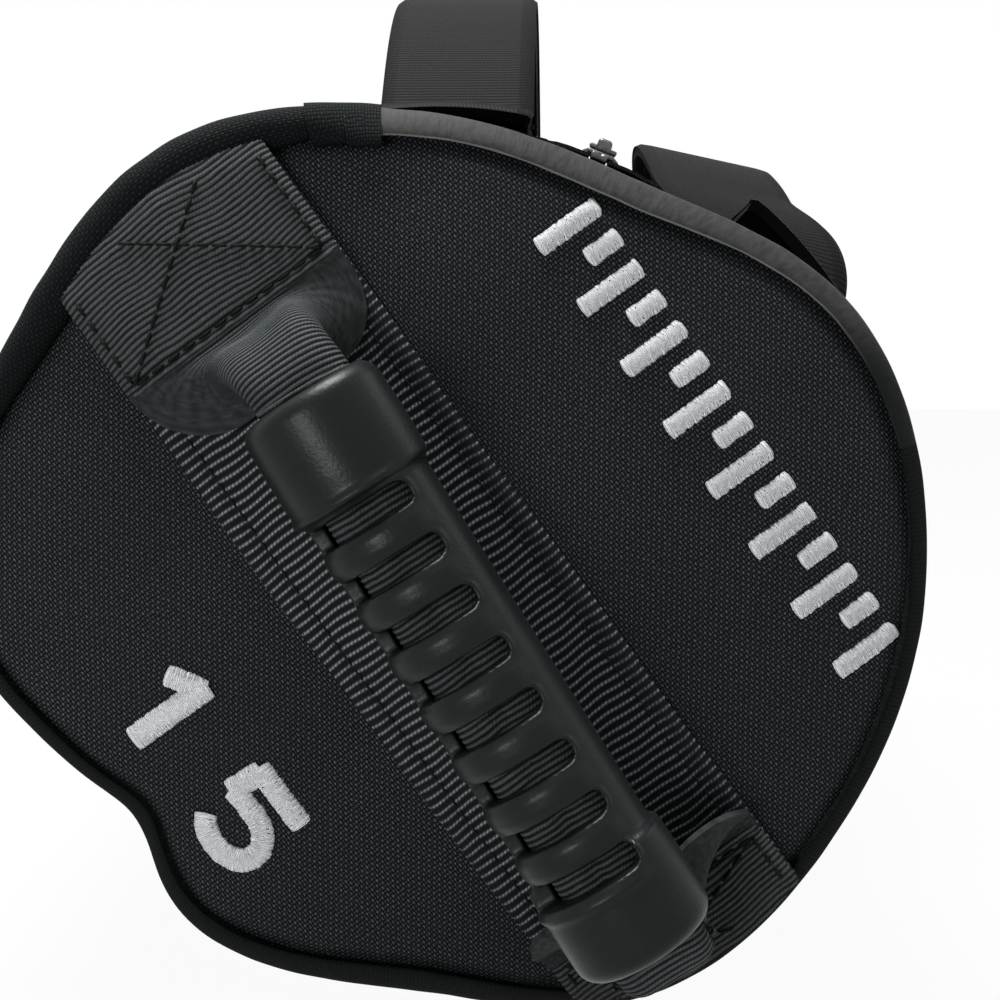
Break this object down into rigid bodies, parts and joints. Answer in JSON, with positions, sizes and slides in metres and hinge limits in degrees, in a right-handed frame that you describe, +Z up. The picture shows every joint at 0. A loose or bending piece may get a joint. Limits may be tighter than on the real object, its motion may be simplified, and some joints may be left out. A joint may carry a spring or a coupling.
{
  "type": "sandbag trainer",
  "caption": "Cylindrical fabric sandbag lying on its side, with a webbing strip and a slotted rubber grip on each round end, two carry straps and a zipper.",
  "frame": {"origin": "on the floor under the middle of the bag, on the flattened underside of the shell", "axes": "+Y along the bag from its front end to its back end, +Z up, the front end panel faces -Y"},
  "size_m": [0.1978, 0.5712, 0.2346],
  "materials": {
    "bag_fabric": "near-black coarse plain-weave oxford cloth, matt",
    "webbing": "black ribbed nylon webbing, slight sheen",
    "grip_rubber": "satin charcoal moulded rubber",
    "zipper_tape": "black woven zipper tape and coil",
    "zipper_metal": "black lacquered die-cast metal",
    "pouch_cloth": "dark grey tight-woven liner cloth"
  },
  "bodies": {
    "bag": {"body_shell": "bag_fabric", "front_end_panel": "bag_fabric", "back_end_panel": "bag_fabric", "front_rim_roll": "bag_fabric", "back_rim_roll": "bag_fabric", "front_seam_tape": "bag_fabric", "back_seam_tape": "bag_fabric", "front_body_band": "webbing", "back_body_band": "webbing", "front_end_strip": "webbing", "back_end_strip": "webbing", "front_handle_upper_tab": "webbing", "front_handle_lower_tab": "webbing", "front_handle_upper_riser": "webbing", "front_handle_lower_riser": "webbing", "back_handle_upper_tab": "webbing", "back_handle_lower_tab": "webbing", "back_handle_upper_riser": "webbing", "back_handle_lower_riser": "webbing", "left_strap_front_anchor": "webbing", "left_strap_front_root": "webbing", "left_strap_back_root": "webbing", "left_strap_back_anchor": "webbing", "right_strap_front_anchor": "webbing", "right_strap_front_root": "webbing", "right_strap_back_root": "webbing", "right_strap_back_anchor": "webbing", "zipper_left_tape": "zipper_tape", "zipper_right_tape": "zipper_tape", "zipper_chain": "zipper_tape", "zipper_front_stop": "zipper_metal", "zipper_back_stop": "zipper_metal", "front_sand_pouch": "pouch_cloth", "middle_sand_pouch": "pouch_cloth", "back_sand_pouch": "pouch_cloth", "front_pouch_closure": "pouch_cloth", "middle_pouch_closure": "pouch_cloth", "back_pouch_closure": "pouch_cloth"},
    "front_handle": {"front_handle_grip": "grip_rubber", "front_handle_core": "webbing"},
    "back_handle": {"back_handle_grip": "grip_rubber", "back_handle_core": "webbing"},
    "left_strap": {"left_strap_arch": "webbing"},
    "right_strap": {"right_strap_arch": "webbing"},
    "slider": {"zipper_slider": "zipper_metal"},
    "pull": {"zipper_pull": "zipper_metal"}
  },
  "joints": [
    {"name": "front_handle_swing", "type": "hinge", "parent": "bag", "child": "front_handle", "pos_m": [0, -0.2418, 0.088], "axis": [0.5878, 0, -0.809], "range_deg": [-40, 40], "deforming": ["front_handle_upper_riser", "front_handle_lower_riser"]},
    {"name": "back_handle_swing", "type": "hinge", "parent": "bag", "child": "back_handle", "pos_m": [0, 0.2418, 0.088], "axis": [0.5878, 0, -0.809], "range_deg": [-40, 40], "deforming": ["back_handle_upper_riser", "back_handle_lower_riser"]},
    {"name": "left_strap_swing", "type": "hinge", "parent": "bag", "child": "left_strap", "pos_m": [0, 0, 0.18306], "axis": [0, 1, 0], "range_deg": [-65, 45], "deforming": ["left_strap_front_root", "left_strap_back_root"]},
    {"name": "right_strap_swing", "type": "hinge", "parent": "bag", "child": "right_strap", "pos_m": [0.07819, 0, 0.14481], "axis": [0, 1, 0], "range_deg": [-3, 125], "deforming": ["right_strap_front_root", "right_strap_back_root"]},
    {"name": "zipper_travel", "type": "slide", "parent": "bag", "child": "slider", "axis": [0, 1, 0], "range_m": [-0.0065, 0.2705]},
    {"name": "pull_flip", "type": "hinge", "parent": "slider", "child": "pull", "pos_m": [0.03752, -0.132, 0.18088], "axis": [0.9272, 0, -0.3746], "range_deg": [0, 165]}
  ]
}
